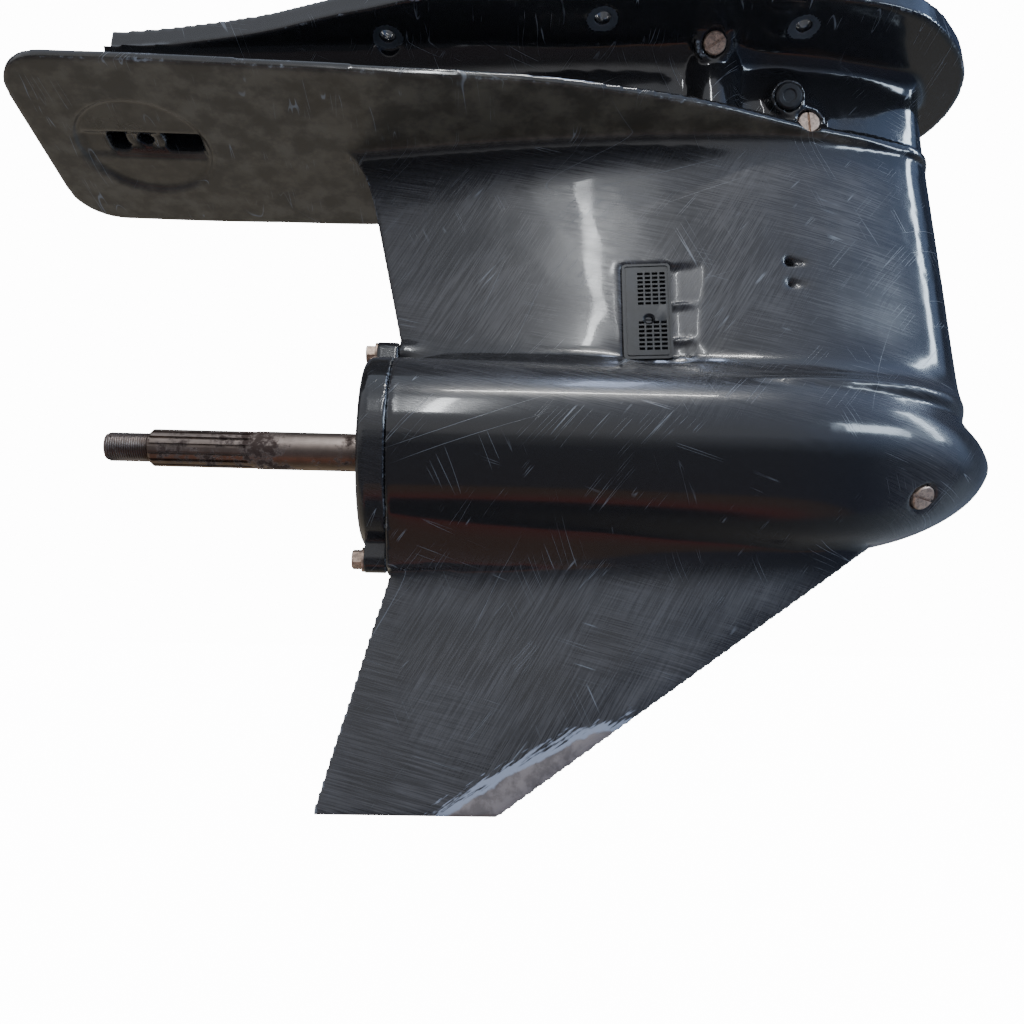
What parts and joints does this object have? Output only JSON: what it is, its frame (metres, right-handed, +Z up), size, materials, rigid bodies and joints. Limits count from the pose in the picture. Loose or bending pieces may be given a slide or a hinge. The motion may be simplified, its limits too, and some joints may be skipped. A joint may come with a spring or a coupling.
{
  "type": "outboard lower unit",
  "caption": "Outboard gearcase with torpedo, strut, skeg, anti-ventilation plate and mounting flange, splined propeller shaft, bevel gears, dog clutch and water pump.",
  "frame": {"origin": "where the driveshaft axis meets the mounting face", "axes": "+Z up along the driveshaft out of the mounting face, +X forward towards the nose, +Y to port"},
  "size_m": [0.697, 0.194, 1.046],
  "materials": {
    "black_enamel": "gloss enamel over cast aluminium, scratched",
    "shaft_steel": "machined stainless steel, stained",
    "gear_steel": "hardened and oiled",
    "bearing_steel": "polished",
    "bronze_yellow": "dull bronze-coloured plating",
    "black_plastic": "moulded",
    "seal_rubber": "matt",
    "bare_aluminium": "machined",
    "stainless": "bright"
  },
  "bodies": {
    "casing": {"gearcase_housing": "black_enamel", "bearing_carrier": "black_enamel", "shift_seal_housing": "bare_aluminium", "shift_rod_seal": "seal_rubber", "shift_seal_bolts": "stainless", "forward_bearing_cup": "bearing_steel", "forward_shim": "stainless", "reverse_bearing_outer_race": "bearing_steel", "carrier_bolts": "bronze_yellow", "carrier_o_ring": "seal_rubber", "propshaft_oil_seals": "seal_rubber", "propshaft_needle_bearing": "bearing_steel", "driveshaft_needle_bearing": "bearing_steel", "driveshaft_bearing_cup": "bearing_steel", "driveshaft_bearing_nut": "gear_steel", "driveshaft_seal_carrier": "bare_aluminium", "seal_carrier_o_ring": "seal_rubber", "driveshaft_oil_seals": "seal_rubber", "pump_gasket": "seal_rubber", "pump_wear_plate": "stainless", "pump_liner": "stainless", "pump_housing": "black_plastic", "water_tube_grommet": "seal_rubber", "pump_bolts": "stainless", "dowel_pins": "stainless", "intake_screen_starboard": "black_plastic", "intake_screen_port": "black_plastic", "intake_screen_screw": "stainless", "flushing_plug": "bronze_yellow", "oil_level_plug": "bronze_yellow", "drain_plug": "bronze_yellow", "plug_gaskets": "seal_rubber", "round_cap": "black_plastic"},
    "propshaft": {"propeller_shaft": "shaft_steel", "reverse_thrust_ring": "gear_steel"},
    "clutch": {"clutch_dog": "gear_steel", "cross_pin": "gear_steel", "cross_pin_ring": "stainless", "shift_actuator": "gear_steel"},
    "spool": {"shift_spool": "gear_steel"},
    "shift": {"shift_rod": "shaft_steel", "shift_crank": "gear_steel"},
    "drive": {"driveshaft": "shaft_steel", "pinion_gear": "gear_steel", "pinion_nut": "stainless", "driveshaft_bearing_cone": "bearing_steel", "driveshaft_bearing_rollers": "bearing_steel", "pump_impeller": "seal_rubber", "impeller_key": "stainless"},
    "forward": {"forward_gear": "gear_steel", "forward_bearing_cone": "bearing_steel", "forward_bearing_rollers": "bearing_steel"},
    "reverse": {"reverse_gear": "gear_steel", "reverse_bearing_inner_race": "bearing_steel", "reverse_bearing_balls": "bearing_steel"}
  },
  "joints": [
    {"name": "prop_spin", "type": "hinge", "parent": "casing", "child": "propshaft", "pos_m": [0, 0, -0.325], "axis": [1, 0, 0], "continuous": true},
    {"name": "forward_gear_spin", "type": "hinge", "parent": "casing", "child": "forward", "pos_m": [0, 0, -0.325], "axis": [1, 0, 0], "continuous": true},
    {"name": "reverse_gear_spin", "type": "hinge", "parent": "casing", "child": "reverse", "pos_m": [0, 0, -0.325], "axis": [1, 0, 0], "continuous": true},
    {"name": "driveshaft_spin", "type": "hinge", "parent": "casing", "child": "drive", "pos_m": [0, 0, 0], "axis": [0, 0, 1], "continuous": true},
    {"name": "shift_rod_turn", "type": "hinge", "parent": "casing", "child": "shift", "pos_m": [0.08, 0, 0], "axis": [0, 0, 1], "range_deg": [0, 60]},
    {"name": "clutch_slide", "type": "slide", "parent": "propshaft", "child": "clutch", "axis": [1, 0, 0], "range_m": [-0.01, 0]},
    {"name": "spool_slide", "type": "slide", "parent": "casing", "child": "spool", "axis": [1, 0, 0], "range_m": [-0.01, 0]}
  ],
  "couplings": [
    {"joint": "forward_gear_spin", "follows": "prop_spin", "ratio": 1},
    {"joint": "reverse_gear_spin", "follows": "prop_spin", "ratio": -1},
    {"joint": "driveshaft_spin", "follows": "prop_spin", "ratio": -1.8571},
    {"joint": "shift_rod_turn", "follows": "clutch_slide", "rad_per_m": -104.72},
    {"joint": "spool_slide", "follows": "clutch_slide", "ratio": 1}
  ]
}
